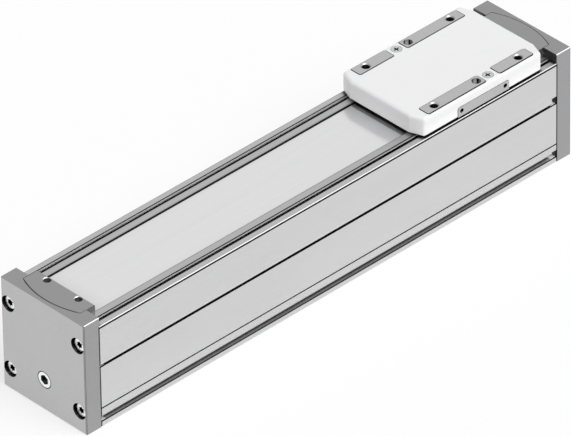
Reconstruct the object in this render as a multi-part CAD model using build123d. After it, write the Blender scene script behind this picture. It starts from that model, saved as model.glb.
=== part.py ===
from build123d import *
from math import cos, radians, sin
import os

# A passive guide axis. A carriage runs on a ball guide rail inside a closed aluminium
# profile, and two thin legs carry the slide outside, one through each top slot.
# It has no drive. Sizes are in millimetres. +X runs along the travel to the far end,
# +Z is up, and the origin is at the centre of the bottom face.

# Housing profile
profile_length = 319.2
profile_width = 60.0
profile_height = 61.0
profile_edge_chamfer = 0.35
lip_width = 3.9
lip_thickness = 1.2
top_slot_width = 2.7
lip_undercut = 0.9
bridge_room_height = 4.7
chamber_half_width = 21.2
chamber_corner_radius = 1.5
deck_height = 30.0
deck_thickness = 6.0
air_chamber_half_width = 16.5
air_chamber_floor = 9.0
air_chamber_radius = 2.0

# Slots and lines on the long sides of the profile
middle_slot_drop = 25.0
middle_slot_mouth = 1.2
middle_slot_lip = 1.2
middle_slot_depth = 3.7
middle_slot_room = 4.9
middle_slot_bevel = 1.2
middle_slot_bevel_depth = 0.3
lower_slot_height = 2.9
lower_slot_mouth = 3.0
lower_slot_lip = 1.3
lower_slot_depth = 4.0
lower_slot_room = 4.6
lower_slot_bevel = 1.0
lower_slot_bevel_depth = 0.3
side_line_height = 11.2
side_line_drop = 1.0
side_line_width = 0.8
side_line_depth = 0.8
notch_length = 3.4
wall_hollow_depth = 3.9
wall_hollow_inset = 3.0
wall_hollow_web = 1.8
wall_hollow_radius = 0.8

# End caps
cap_thickness = 10.4
cap_rise = 5.5
cap_edge_chamfer = 0.5
cap_ridge_chamfer = 0.35
cap_seam_width = 0.5
cap_seam_depth = 0.5
cap_screw_side = 5.0
cap_screw_lower = 12.2
cap_screw_drop = 8.8
cap_screw_size = 4.0
cap_screw_length = 16.0
cap_screw_head = 7.1
cap_screw_head_height = 2.8
cap_screw_recess = 1.5
cap_screw_pocket = 9.0
cap_screw_hole = 4.5
cap_screw_lobe = 2.1
cap_screw_waist = 1.5
cap_screw_socket_depth = 1.8
thread_clearance = 0.03
thread_runout = 0.5

# Sealing plug
plug_height = 18.5
plug_size = 9.7
plug_length = 7.0
plug_socket = 5.0
plug_socket_depth = 4.0
plug_bevel = 0.35

# Cover carrier and cover strip
carrier_thickness = 2.0
carrier_edge_thickness = 1.3
carrier_edge_reach = 1.0
carrier_recess = 1.0
carrier_shoulder = 4.4
carrier_overlap = 6.0
carrier_clearance = 0.1
strip_thickness = 0.3
strip_side_clearance = 0.45
strip_end_clearance = 0.6

# Strip clamp
clamp_shoulder_overlap = 1.5
clamp_back_wall = 2.3
clamp_arc_rise = 4.5
clamp_reach = 6.2
clamp_bevel = 0.5
clamp_clearance = 0.3
clamp_rib_height = 1.6
clamp_rib_depth = 0.8
clamp_rib_rise = 1.2
clamp_screw_spacing = 22.6
clamp_screw_offset = 3.8
clamp_screw_size = 4.0
clamp_screw_length = 4.0
clamp_screw_socket = 2.0
clamp_screw_socket_depth = 2.0
clamp_screw_bevel = 0.4

# Guide rail
rail_width = 15.0
rail_height = 10.0
rail_end_clearance = 0.5
rail_edge_chamfer = 0.6
rail_hole_pitch = 60.0
rail_screw_size = 3.0
rail_screw_length = 10.0
rail_screw_head = 5.5
rail_screw_head_height = 3.0
rail_screw_socket = 2.5
rail_screw_socket_depth = 1.5
rail_hole = 3.5
rail_pocket = 6.0
rail_pocket_depth = 4.5
ball_diameter = 3.0
ball_height = 6.4
ball_clearance = 0.05

# Runner blocks
runner_width = 32.0
runner_top = 16.0
runner_foot = 4.0
runner_steel_length = 26.4
runner_clearance = 0.25
runner_roof_clearance = 0.6
runner_edge_chamfer = 0.6
runner_gap = 0.6
runner_screw_pitch_x = 20.0
runner_screw_pitch_y = 25.0
runner_screw_size = 3.0
runner_screw_grip = 3.5
runner_screw_engagement = 4.5
runner_screw_head = 5.5
runner_screw_head_height = 3.0
runner_screw_socket = 2.5
runner_screw_socket_depth = 1.5
runner_screw_pocket = 6.4
end_plate_length = 6.0
end_plate_inset = 0.3
seal_thickness = 0.8
seal_inset = 0.7
seal_clearance = 0.12

# Slide body
slide_length = 89.3
slide_stop_gap = 0.5
slide_rest_back = 0.95
carriage_length = 82.0
carriage_side_clearance = 0.7
bridge_bottom_clearance = 0.4
bridge_top_clearance = 0.7
bridge_side_clearance = 1.0
leg_clearance = 0.35
plate_clearance = 1.4
plate_length = 84.0
plate_width = 55.2
plate_thickness = 8.8
pad_rise = 2.3
pad_width = 6.8
pad_radius = 0.8
pad_end_margin = 4.7
long_pad_start = 3.5
short_pad_start = 13.4
flank_half_length = 18.15
flank_shoulder = 3.1
flank_proud = 29.8
flank_radius = 1.5
flank_hole_spacing = 31.0
flank_hole_rise = 3.2
flank_hole_size = 2.5
flank_hole_depth = 6.0
slide_hole_pitch_x = 60.0
slide_hole_pitch_y = 49.0
slide_hole_size = 4.2
slide_hole_mouth = 5.4
slide_hole_depth = 9.0
centring_hole_size = 5.0
centring_hole_depth = 2.1

# Slide cover
cover_width = 59.14
cover_bottom_gap = 1.6
cover_roof = 2.15
cover_corner_x = 3.1
cover_corner_y = 8.37
cover_edge_radius = 2.0
cover_body_clearance = 0.1
cover_window_clearance = 0.45
cover_screw_offset = 8.3
cover_screw_size = 3.0
cover_screw_head = 6.0
cover_screw_length = 7.5
cover_screw_sink = 0.1
cover_screw_cross_width = 0.7
cover_screw_cross_length = 3.2
cover_screw_cross_depth = 1.3

# Rubber end stops
bumper_diameter = 8.0
bumper_pin = 5.0
bumper_pin_length = 4.5
bumper_spacing = 24.0
bumper_clearance = 0.35
bumper_bevel = 0.8

# Places that follow from the sizes above
half_width = profile_width / 2
middle_slot_height = profile_height - middle_slot_drop
profile_end = profile_length / 2
opening_half = half_width - lip_width
carrier_half = opening_half - top_slot_width
bridge_room_top = profile_height - lip_thickness
bridge_room_bottom = bridge_room_top - bridge_room_height
cap_screw_y = half_width - cap_screw_side
cap_height = profile_height + cap_rise
cap_screw_heights = (cap_screw_lower, profile_height - cap_screw_drop)
channel_radius = cap_screw_size / 2 + thread_clearance
carrier_bottom = profile_height - carrier_thickness
recess_floor = profile_height - carrier_recess
recess_half = carrier_half - carrier_shoulder
strip_top = recess_floor + strip_thickness
clamp_half = recess_half + clamp_shoulder_overlap
clamp_inner_face = profile_end - clamp_reach
rail_top = deck_height + rail_height
rail_seat = rail_top - rail_pocket_depth
runner_top_z = deck_height + runner_top
runner_foot_z = deck_height + runner_foot
runner_length = runner_steel_length + 2 * (end_plate_length + seal_thickness)
runner_offset = (runner_length + runner_gap) / 2
ball_z = deck_height + ball_height
ball_y = (rail_width + runner_clearance) / 2
bridge_bottom = bridge_room_bottom + bridge_bottom_clearance
bridge_top = carrier_bottom - bridge_top_clearance
carriage_half = chamber_half_width - carriage_side_clearance
bridge_half = opening_half + lip_undercut - bridge_side_clearance
plate_bottom = profile_height + plate_clearance
plate_top = plate_bottom + plate_thickness
pad_top = plate_top + pad_rise
pad_end = plate_length / 2 - pad_end_margin
cover_bottom = profile_height + cover_bottom_gap
cover_top = plate_top + cover_roof
slide_limit_x = clamp_inner_face - slide_stop_gap - slide_length / 2
slide_x = slide_limit_x - slide_rest_back
bumper_z = (runner_top_z + bridge_bottom) / 2
carriage_limit_x = slide_limit_x + carriage_length / 2


def area(left, bottom, right, top):
    """A flat rectangle between two corners."""
    return Pos((left + right) / 2, (bottom + top) / 2) * Rectangle(right - left, top - bottom)


def both_sides(sketch):
    """A cross-section shape and its mirror image across the middle."""
    return sketch + mirror(sketch, about=Plane.YZ)


def block(x0, x1, y0, y1, z0, z1):
    """A straight block between two corners."""
    centre = Pos((x0 + x1) / 2, (y0 + y1) / 2, (z0 + z1) / 2)
    return centre * Box(x1 - x0, y1 - y0, z1 - z0)


def along_x(sketch, length, centre=0.0):
    """A cross-section drawn across the axis, pulled along it."""
    return Pos(centre, 0, 0) * extrude(Plane.YZ * sketch, amount=length / 2, both=True)


def upright(sketch, bottom, top):
    """A plan shape raised between two heights."""
    return extrude(Pos(0, 0, bottom) * sketch, amount=top - bottom)


def pin(diameter, z0, z1, x=0.0, y=0.0):
    """An upright round pin."""
    return Pos(x, y, (z0 + z1) / 2) * Cylinder(diameter / 2, z1 - z0)


def far_end(shape):
    """A copy of a near-end piece, turned round to the far end."""
    return Rot(0, 0, 180) * shape


def corner_octagon(half_x, half_y, cut_x, cut_y):
    """A rectangle with its four corners cut off."""
    points = [
        (half_x, half_y - cut_y),
        (half_x - cut_x, half_y),
        (-half_x + cut_x, half_y),
        (-half_x, half_y - cut_y),
        (-half_x, -half_y + cut_y),
        (-half_x + cut_x, -half_y),
        (half_x - cut_x, -half_y),
        (half_x, -half_y + cut_y),
    ]
    return make_face(Polyline(*points, close=True))


# Screws stand upright with the underside of the head at the origin

def socket_screw(size, length, head, head_height, socket, socket_depth):
    """A cylinder-head screw with a hexagon socket."""
    screw = pin(head, 0, head_height) + pin(size, -length, 0)
    hexagon = RegularPolygon(socket / 2, 6, major_radius=False)
    return screw - upright(hexagon, head_height - socket_depth, head_height)


def lobed_screw():
    """The cap screw: a low cylinder head with a six-lobe socket."""
    screw = pin(cap_screw_head, 0, cap_screw_head_height) + pin(cap_screw_size, -cap_screw_length, 0)
    lobes = Polygon(*six_lobes(), align=None)
    return screw - upright(lobes, cap_screw_head_height - cap_screw_socket_depth, cap_screw_head_height)


def six_lobes():
    """Corners of the six-lobe socket: six points far out and six close in, in turn."""
    corners = []
    for i in range(12):
        reach = cap_screw_waist if i % 2 else cap_screw_lobe
        corners.append((reach * cos(radians(30 * i)), reach * sin(radians(30 * i))))
    return corners


def countersunk_screw():
    """The cover screw: a countersunk head with a cross recess."""
    cone_height = (cover_screw_head - cover_screw_size) / 2
    cone = Pos(0, 0, -cone_height / 2) * Cone(cover_screw_size / 2, cover_screw_head / 2, cone_height)
    screw = cone + pin(cover_screw_size, -cover_screw_length, -cone_height)
    bar = Rectangle(cover_screw_cross_length, cover_screw_cross_width)
    cross = bar + Rot(0, 0, 90) * bar
    return screw - upright(cross, -cover_screw_cross_depth, 0)


# Housing

def side_slots():
    """The two slots and two fine lines in one long side, as seen from the end."""
    middle_top = middle_slot_height + middle_slot_mouth
    middle = area(half_width - middle_slot_lip, middle_slot_height, half_width, middle_top)
    middle += area(
        half_width - middle_slot_depth,
        middle_slot_height,
        half_width - middle_slot_lip,
        middle_slot_height + middle_slot_room,
    )
    middle += bevel_above(middle_top, middle_slot_bevel, middle_slot_bevel_depth)
    lower_top = lower_slot_height + lower_slot_mouth
    lower = area(half_width - lower_slot_lip, lower_slot_height, half_width, lower_top)
    lower += area(
        half_width - lower_slot_depth,
        lower_slot_height,
        half_width - lower_slot_lip,
        lower_slot_height + lower_slot_room,
    )
    lower += bevel_above(lower_top, lower_slot_bevel, lower_slot_bevel_depth)
    lines = side_line(side_line_height) + side_line(profile_height - side_line_drop)
    return middle + lower + lines


def bevel_above(height, rise, depth):
    """The slope on the upper lip of a side slot."""
    points = [(half_width, height), (half_width, height + rise), (half_width - depth, height)]
    return make_face(Polyline(*points, close=True))


def side_line(height):
    """A narrow groove."""
    inner = half_width - side_line_depth
    return area(inner, height - side_line_width / 2, half_width, height + side_line_width / 2)


def wall_hollows():
    """Hollow channels that lighten one side wall."""
    outer = half_width - wall_hollow_inset
    inner = outer - wall_hollow_depth
    lower_channel, upper_channel = cap_screw_heights
    lower = area(
        inner,
        lower_channel + channel_radius + wall_hollow_web,
        outer,
        middle_slot_height - wall_hollow_web,
    )
    upper = area(
        inner,
        middle_slot_height + middle_slot_room + wall_hollow_web,
        outer,
        upper_channel - channel_radius - wall_hollow_web,
    )
    hollows = lower + upper
    return fillet(hollows.vertices(), wall_hollow_radius)


def housing_section():
    section = area(-half_width, 0, half_width, profile_height)
    section = chamfer(section.vertices(), profile_edge_chamfer)
    chamber = area(-chamber_half_width, deck_height, chamber_half_width, bridge_room_bottom)
    chamber = fillet(chamber.vertices().group_by(Axis.Y)[0], chamber_corner_radius)
    room_half = opening_half + lip_undercut
    chamber += area(-room_half, bridge_room_bottom, room_half, bridge_room_top)
    chamber += area(-opening_half, bridge_room_top, opening_half, profile_height)
    air_chamber = area(
        -air_chamber_half_width,
        air_chamber_floor,
        air_chamber_half_width,
        deck_height - deck_thickness,
    )
    air_chamber = fillet(air_chamber.vertices(), air_chamber_radius)
    channel = Circle(channel_radius)
    channels = [Pos(cap_screw_y, height) * channel for height in cap_screw_heights]
    section -= chamber + air_chamber
    section -= both_sides(channels[0] + channels[1] + side_slots() + wall_hollows())
    return section


def rail_hole_places():
    """X of each guide rail screw, spread evenly about the middle."""
    count = int((profile_length - rail_hole_pitch / 2) // rail_hole_pitch) + 1
    return [rail_hole_pitch * (i - (count - 1) / 2) for i in range(count)]


def housing_profile():
    profile = along_x(housing_section(), profile_length)
    bore = rail_screw_size + 2 * thread_clearance
    depth = rail_screw_length - (rail_seat - deck_height) + thread_runout
    for x in rail_hole_places():
        profile -= pin(bore, deck_height - depth, deck_height, x)
    notch_start = profile_end - notch_length
    lips = (
        (middle_slot_lip, middle_slot_height, middle_slot_room),
        (lower_slot_lip, lower_slot_height, lower_slot_room),
    )
    for lip, height, room in lips:
        notch = block(notch_start, profile_end, half_width - lip, half_width, height, height + room)
        profile -= notch + mirror(notch, about=Plane.XZ)
    return profile


def clamp_plan(grow):
    """Plan of the strip clamp at the near end, with its arc-shaped back."""
    outer_face = -profile_end - cap_thickness
    apex = outer_face + clamp_back_wall - grow
    corner = outer_face + clamp_back_wall + clamp_arc_rise - grow
    front = -clamp_inner_face
    half = clamp_half + grow
    back = ThreePointArc((corner, -half), (apex, 0), (corner, half))
    sides = Polyline((corner, half), (front, half), (front, -half), (corner, -half))
    return make_face(back + sides)


def end_cap():
    """The near end cap; the far one is the same piece turned round."""
    outer_face = -profile_end - cap_thickness
    cap = block(outer_face, -profile_end, -half_width, half_width, 0, cap_height)
    ridges = cap.edges().filter_by(Axis.X).group_by(Axis.Z)[-1]
    cap = chamfer(ridges, cap_ridge_chamfer)
    cap = chamfer(cap.edges().group_by(Axis.X)[0], cap_edge_chamfer)
    outline = area(-half_width, 0, half_width, profile_height)
    inner_half = half_width - cap_seam_depth
    outline -= area(-inner_half, cap_seam_depth, inner_half, profile_height)
    cap -= along_x(outline, cap_seam_width, -profile_end - cap_seam_width / 2)

    pocket = upright(clamp_plan(clamp_clearance), profile_height, cap_height)
    rib_bottom = profile_height + clamp_rib_rise
    groove = upright(clamp_plan(clamp_clearance + clamp_rib_depth), rib_bottom, rib_bottom + clamp_rib_height)
    slot_end = -profile_end - carrier_overlap - carrier_clearance
    slot_half = carrier_half + carrier_clearance
    carrier_slot = block(slot_end, -profile_end, -slot_half, slot_half, carrier_bottom, profile_height)
    cap -= pocket + groove + carrier_slot

    seat = outer_face + cap_screw_recess + cap_screw_head_height
    for y in (-cap_screw_y, cap_screw_y):
        for z in cap_screw_heights:
            hole = pin(cap_screw_pocket, outer_face, seat) + pin(cap_screw_hole, seat, -profile_end)
            cap -= Pos(0, y, z) * Rot(0, 90, 0) * hole
    bore = plug_size + 2 * thread_clearance
    cap -= Pos(0, 0, plug_height) * Rot(0, 90, 0) * pin(bore, outer_face, -profile_end)

    pin_hole = pin(bumper_pin, -profile_end - bumper_pin_length, -profile_end)
    for y in (-bumper_spacing / 2, bumper_spacing / 2):
        cap -= Pos(0, y, bumper_z) * Rot(0, 90, 0) * pin_hole
    return cap


def end_cap_screws():
    seat = -profile_end - cap_thickness + cap_screw_recess + cap_screw_head_height
    screw = Pos(seat, 0, 0) * Rot(0, -90, 0) * lobed_screw()
    places = [(y, z) for y in (-cap_screw_y, cap_screw_y) for z in cap_screw_heights]
    return Compound([Pos(0, y, z) * screw for y, z in places])


def sealing_plug():
    outer_face = -profile_end - cap_thickness
    plug = pin(plug_size, outer_face, outer_face + plug_length)
    plug = chamfer(plug.edges().group_by(Axis.Z)[0], plug_bevel)
    hexagon = RegularPolygon(plug_socket / 2, 6, major_radius=False)
    plug -= upright(hexagon, outer_face, outer_face + plug_socket_depth)
    return Pos(0, 0, plug_height) * Rot(0, 90, 0) * plug


def bumpers():
    """Two rubber end stops on pins pressed into the near cap."""
    reach = profile_end - carriage_limit_x - bumper_clearance
    stop = pin(bumper_diameter, -profile_end, -profile_end + reach)
    stop = chamfer(stop.edges().group_by(Axis.Z)[-1], bumper_bevel)
    stop += pin(bumper_pin, -profile_end - bumper_pin_length, -profile_end)
    stop = Pos(0, 0, bumper_z) * Rot(0, 90, 0) * stop
    return Compound([Pos(0, side * bumper_spacing / 2, 0) * stop for side in (-1, 1)])


# Cover carrier, cover strip and strip clamps

def cover_carrier():
    core_half = carrier_half - carrier_edge_reach
    section = area(-carrier_half, profile_height - carrier_edge_thickness, carrier_half, profile_height)
    section += area(-core_half, carrier_bottom, core_half, profile_height - carrier_edge_thickness)
    section -= area(-recess_half, recess_floor, recess_half, profile_height)
    return along_x(section, profile_length + 2 * carrier_overlap)


def cover_strip():
    half = recess_half - strip_side_clearance
    length = profile_length + 2 * (carrier_overlap - strip_end_clearance)
    return along_x(area(-half, recess_floor, half, strip_top), length)


def clamp_screw_places():
    x = -profile_end + clamp_screw_offset
    return [(x, side * clamp_screw_spacing / 2) for side in (-1, 1)]


def strip_clamp():
    """The near strip clamp, which presses the cover strip into its carrier."""
    clamp = upright(clamp_plan(0), profile_height, cap_height)
    clamp = chamfer(clamp.edges().group_by(Axis.Z)[-1].sort_by(Axis.X)[-1], clamp_bevel)
    rib_bottom = profile_height + clamp_rib_rise
    rib = upright(clamp_plan(clamp_rib_depth), rib_bottom, rib_bottom + clamp_rib_height)
    clamp += rib & block(
        -profile_end - cap_thickness, -profile_end, -half_width, half_width, 0, cap_height
    )
    tongue_half = recess_half - strip_side_clearance
    strip_end = -profile_end - carrier_overlap + strip_end_clearance
    clamp += block(strip_end, -clamp_inner_face, -tongue_half, tongue_half, strip_top, profile_height)
    hole = pin(clamp_screw_size + 2 * thread_clearance, strip_top, cap_height)
    mouth_height = clamp_screw_bevel
    mouth = Cone(clamp_screw_size / 2, clamp_screw_size / 2 + mouth_height, mouth_height)
    hole += Pos(0, 0, cap_height - mouth_height / 2) * mouth
    for x, y in clamp_screw_places():
        clamp -= Pos(x, y, 0) * hole
    return clamp


def clamp_screws():
    top = strip_top + clamp_screw_length
    hexagon = RegularPolygon(clamp_screw_socket / 2, 6, major_radius=False)
    screw = pin(clamp_screw_size, strip_top, top)
    screw -= upright(hexagon, top - clamp_screw_socket_depth, top)
    return Compound([Pos(x, y, 0) * screw for x, y in clamp_screw_places()])


# Guide rail and its screws

def ball_track():
    """Both ball grooves, shared by the rail and the runner blocks."""
    groove = Pos(ball_y, ball_z) * Circle(ball_diameter / 2 + ball_clearance)
    return both_sides(groove)


def guide_rail():
    half = rail_width / 2
    section = area(-half, deck_height, half, rail_top)
    section = chamfer(section.vertices(), rail_edge_chamfer)
    rail = along_x(section - ball_track(), profile_length - 2 * rail_end_clearance)
    for x in rail_hole_places():
        rail -= pin(rail_hole, deck_height, rail_seat, x) + pin(rail_pocket, rail_seat, rail_top, x)
    return rail


def rail_screws():
    screw = socket_screw(
        rail_screw_size,
        rail_screw_length,
        rail_screw_head,
        rail_screw_head_height,
        rail_screw_socket,
        rail_screw_socket_depth,
    )
    return Compound([Pos(x, 0, rail_seat) * screw for x in rail_hole_places()])


# Runner blocks, drawn about the slide's centre

def runner_section(inset, clearance):
    """A runner block piece seen along the rail: a roof and two sides over the rail."""
    half = runner_width / 2 - inset
    section = area(-half, runner_foot_z + inset, half, runner_top_z - inset)
    section = chamfer(section.vertices(), runner_edge_chamfer)
    room = rail_width / 2 + clearance
    return section - area(-room, runner_foot_z, room, rail_top + runner_roof_clearance)


def runner_screw_places(centre):
    places = []
    for x in (-runner_screw_pitch_x / 2, runner_screw_pitch_x / 2):
        for y in (-runner_screw_pitch_y / 2, runner_screw_pitch_y / 2):
            places.append((centre + x, y))
    return places


def runner_block(centre):
    steel = along_x(runner_section(0, runner_clearance) - ball_track(), runner_steel_length, centre)
    depth = runner_screw_engagement + thread_runout
    bore = pin(runner_screw_size + 2 * thread_clearance, runner_top_z - depth, runner_top_z)
    for x, y in runner_screw_places(centre):
        steel -= Pos(x, y, 0) * bore
    return steel


def runner_end_plate(centre, side):
    plate = along_x(runner_section(end_plate_inset, runner_clearance), end_plate_length)
    return Pos(centre + side * (runner_steel_length + end_plate_length) / 2, 0, 0) * plate


def runner_seal(centre, side):
    seal = along_x(runner_section(seal_inset, seal_clearance), seal_thickness)
    offset = (runner_steel_length + seal_thickness) / 2 + end_plate_length
    return Pos(centre + side * offset, 0, 0) * seal


def runner_screws():
    screw = socket_screw(
        runner_screw_size,
        runner_screw_grip + runner_screw_engagement,
        runner_screw_head,
        runner_screw_head_height,
        runner_screw_socket,
        runner_screw_socket_depth,
    )
    seat = runner_top_z + runner_screw_grip
    places = runner_screw_places(slide_x - runner_offset) + runner_screw_places(slide_x + runner_offset)
    return Compound([Pos(x, y, seat) * screw for x, y in places])


# Slide body, drawn about its own centre

def pad_plans():
    """Plans of the four pads: long and short ones, turned half a turn from side to side."""
    near_side = -slide_hole_pitch_y / 2
    low = near_side - pad_width / 2
    high = near_side + pad_width / 2
    side = area(-pad_end, low, long_pad_start, high) + area(short_pad_start, low, pad_end, high)
    side = fillet(side.vertices(), pad_radius)
    return side + Rot(0, 0, 180) * side


def flank_plan():
    """The plate on the slide's long sides, seen from the side."""
    plan = area(-flank_half_length, plate_bottom, flank_half_length, plate_top - flank_shoulder)
    return fillet(plan.vertices().group_by(Axis.Y)[-1], flank_radius)


def slide_body():
    ring = area(-carriage_half, runner_top_z, carriage_half, bridge_bottom)
    ring += area(-bridge_half, bridge_bottom, bridge_half, bridge_top)
    leg = area(carrier_half + leg_clearance, bridge_top, opening_half - leg_clearance, plate_bottom)
    body = along_x(ring + both_sides(leg), carriage_length)
    plate = corner_octagon(plate_length / 2, plate_width / 2, cover_corner_x, cover_corner_y)
    body += upright(plate, plate_bottom, plate_top)

    body += upright(pad_plans(), plate_top, pad_top)

    flank = extrude(Plane.XZ * flank_plan(), amount=flank_proud, both=True)
    window = block(-plate_length, plate_length, -plate_width / 2, plate_width / 2, 0, pad_top)
    body += flank - window

    cone_height = (slide_hole_mouth - slide_hole_size) / 2
    cone = Cone(slide_hole_size / 2, slide_hole_mouth / 2, cone_height)
    thread = pin(slide_hole_size, pad_top - slide_hole_depth, pad_top)
    thread += Pos(0, 0, pad_top - cone_height / 2) * cone
    for x in (-slide_hole_pitch_x / 2, slide_hole_pitch_x / 2):
        for y in (-slide_hole_pitch_y / 2, slide_hole_pitch_y / 2):
            body -= Pos(x, y, 0) * thread
    centring = pin(centring_hole_size, pad_top - centring_hole_depth, pad_top)
    for y in (-slide_hole_pitch_y / 2, slide_hole_pitch_y / 2):
        body -= Pos(0, y, 0) * centring
    flank_hole = pin(flank_hole_size, flank_proud - flank_hole_depth, flank_proud)
    for side in (-1, 1):
        for x in (-flank_hole_spacing / 2, flank_hole_spacing / 2):
            body -= Pos(x, 0, plate_bottom + flank_hole_rise) * Rot(-90 * side, 0, 0) * flank_hole

    seat = runner_top_z + runner_screw_grip
    access = pin(runner_screw_pocket, seat, plate_top)
    access += pin(runner_screw_size + 2 * thread_clearance, runner_top_z, seat)
    for x, y in runner_screw_places(-runner_offset) + runner_screw_places(runner_offset):
        body -= Pos(x, y, 0) * access
    cover_thread_end = cover_top - cover_screw_length - thread_runout
    cover_thread = pin(cover_screw_size + 2 * thread_clearance, cover_thread_end, plate_top)
    for x, y in cover_screw_places():
        body -= Pos(x, y, 0) * cover_thread
    return Pos(slide_x, 0, 0) * body


def cover_screw_places():
    y = slide_hole_pitch_y / 2
    return [(cover_screw_offset, -y), (-cover_screw_offset, y)]


def slide_cover():
    """The moulded shell, open below, with windows for the pads and the side plates."""
    outline = corner_octagon(slide_length / 2, cover_width / 2, cover_corner_x, cover_corner_y)
    cover = upright(outline, cover_bottom, cover_top)
    upright_edges = cover.edges().filter_by(Axis.Z).group_by(Axis.Y)
    cover = fillet(upright_edges[0] + upright_edges[-1], cover_edge_radius)
    cover = fillet(cover.edges().group_by(Axis.Z)[-1], cover_edge_radius)
    room = corner_octagon(
        plate_length / 2 + cover_body_clearance,
        plate_width / 2 + cover_body_clearance,
        cover_corner_x,
        cover_corner_y,
    )
    cover -= upright(room, cover_bottom, plate_top)
    cover -= upright(offset(pad_plans(), cover_window_clearance), plate_top, cover_top)
    flank = offset(flank_plan(), cover_body_clearance)
    cover -= extrude(Plane.XZ * flank, amount=half_width, both=True)

    head_depth = (cover_screw_head - cover_screw_size) / 2 + cover_screw_sink
    head_radius = cover_screw_head / 2 + cover_screw_sink
    bore = cover_screw_size + 2 * thread_clearance
    sink = Cone(bore / 2, head_radius, head_depth)
    for x, y in cover_screw_places():
        cover -= Pos(x, y, cover_top - head_depth / 2) * sink
        cover -= pin(bore, plate_top, cover_top, x, y)
    return Pos(slide_x, 0, 0) * cover


def cover_screws():
    top = cover_top - cover_screw_sink
    screw = countersunk_screw()
    return Compound([Pos(slide_x + x, y, top) * screw for x, y in cover_screw_places()])


def sub_parts():
    """Every sub-part with its name."""
    near_runner = slide_x - runner_offset
    far_runner = slide_x + runner_offset
    parts = {
        "housing_profile": housing_profile(),
        "cover_carrier": cover_carrier(),
        "cover_strip": cover_strip(),
        "guide_rail": guide_rail(),
        "rail_screws": rail_screws(),
        "slide_body": slide_body(),
        "slide_cover": slide_cover(),
        "cover_screws": cover_screws(),
        "runner_screws": runner_screws(),
    }
    end_pieces = {
        "end_cap": end_cap(),
        "end_cap_screws": end_cap_screws(),
        "sealing_plug": sealing_plug(),
        "strip_clamp": strip_clamp(),
        "clamp_screws": clamp_screws(),
        "end_stops": bumpers(),
    }
    for name, shape in end_pieces.items():
        parts[name + "_near"] = shape
        parts[name + "_far"] = far_end(shape)
    for end, centre in (("near", near_runner), ("far", far_runner)):
        parts["runner_block_" + end] = runner_block(centre)
        for place, side in (("left", -1), ("right", 1)):
            parts["runner_end_plate_" + end + "_" + place] = runner_end_plate(centre, side)
            parts["runner_seal_" + end + "_" + place] = runner_seal(centre, side)
    return parts


os.makedirs("parts", exist_ok=True)
for name, shape in sub_parts().items():
    export_step(shape, "parts/" + name + ".step")
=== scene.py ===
import math

import bpy
from mathutils import Matrix, Vector


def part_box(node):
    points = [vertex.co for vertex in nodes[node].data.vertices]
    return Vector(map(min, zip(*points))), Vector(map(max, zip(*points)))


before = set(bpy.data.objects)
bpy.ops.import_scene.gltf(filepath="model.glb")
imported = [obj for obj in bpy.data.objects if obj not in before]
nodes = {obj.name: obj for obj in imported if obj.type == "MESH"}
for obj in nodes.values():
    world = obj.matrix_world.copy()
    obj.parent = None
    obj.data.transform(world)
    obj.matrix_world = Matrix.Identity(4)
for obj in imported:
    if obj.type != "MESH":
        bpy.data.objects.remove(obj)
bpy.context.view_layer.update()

MM = 0.001

# The photograph's width, in pixels
PHOTO_WIDTH = 571

# The camera: where it looks from, in degrees, how far away it stands, and what it aims at
CAMERA_TURN = 46.4508
CAMERA_DROP = 35.6292
CAMERA_ROLL = -0.9321
CAMERA_DISTANCE = 5055.21 * MM
FOCAL_PIXELS = 10055.75
SENSOR_WIDTH = 36.0
NEAREST_SEEN = 0.1
FURTHEST_SEEN = 50.0
AIM_HEIGHT = 35.0 * MM
AIM_RIGHT = -2.7112 * MM
AIM_UP = -3.6489 * MM

# The studio: light from the sky, one broad lamp above the long side, and a white floor
SKY_LIGHT = 0.55
SUN_STRENGTH = 1.92
SUN_ELEVATION = 60.0
SUN_SPREAD = 50.0
FLOOR_WHITE = "#FFFFFF"
FLOOR_SIZE = 40.0
FLOOR_DROP = 0.1 * MM
FLOOR_GLOW = 0.6

# Marks left by making the pieces: how long, wide and high each is drawn. The real ones are
# 0.05 to 0.2 mm wide, too fine for the render, so they are drawn as coarse as they need to show.
DIE_LINES = (90 * MM, 0.7 * MM, 0.7 * MM)
CARRIER_DIE_LINES = (90 * MM, 0.6 * MM, 0.6 * MM)
ROLLING_LINES = (140 * MM, 0.9 * MM, 1 * MM)
FEED_MARKS = (0.6 * MM, 12 * MM, 12 * MM)
RAIL_GRINDING = (60 * MM, 0.5 * MM, 0.5 * MM)
RUNNER_GRINDING = (20 * MM, 0.5 * MM, 0.5 * MM)
BLASTED_GRAIN = (0.8 * MM, 0.8 * MM, 0.8 * MM)
MOULDED_GRAIN = (0.5 * MM, 0.5 * MM, 0.5 * MM)
RING_PITCH = 0.45 * MM

# How deep they are
DIE_LINE_DEPTH = 0.005 * MM
ROLLING_DEPTH = 0.002 * MM
FEED_DEPTH = 0.005 * MM
GRINDING_DEPTH = 0.004 * MM
RING_DEPTH = 0.004 * MM
BLASTED_DEPTH = 0.01 * MM
POLYAMIDE_DEPTH = 0.008 * MM
DARK_MOULDING_DEPTH = 0.01 * MM

# Slow changes of tone and of height over a surface, in their real size
EXTRUSION_CLOUDS = (60 * MM, 14 * MM, 14 * MM)
CAP_CLOUDS = (18 * MM, 18 * MM, 18 * MM)
STRIP_WAVE = (70 * MM, 25 * MM, 25 * MM)
MOULD_FLOW = (30 * MM, 16 * MM, 16 * MM)
ZINC_STAINS = (3 * MM, 3 * MM, 3 * MM)
SMALL_ZINC_STAINS = (2 * MM, 2 * MM, 2 * MM)
OXIDE_STAINS = (1.5 * MM, 1.5 * MM, 1.5 * MM)
WAVE_DEPTH = 0.04 * MM
STAIN_DEPTH = 0.01 * MM

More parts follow.
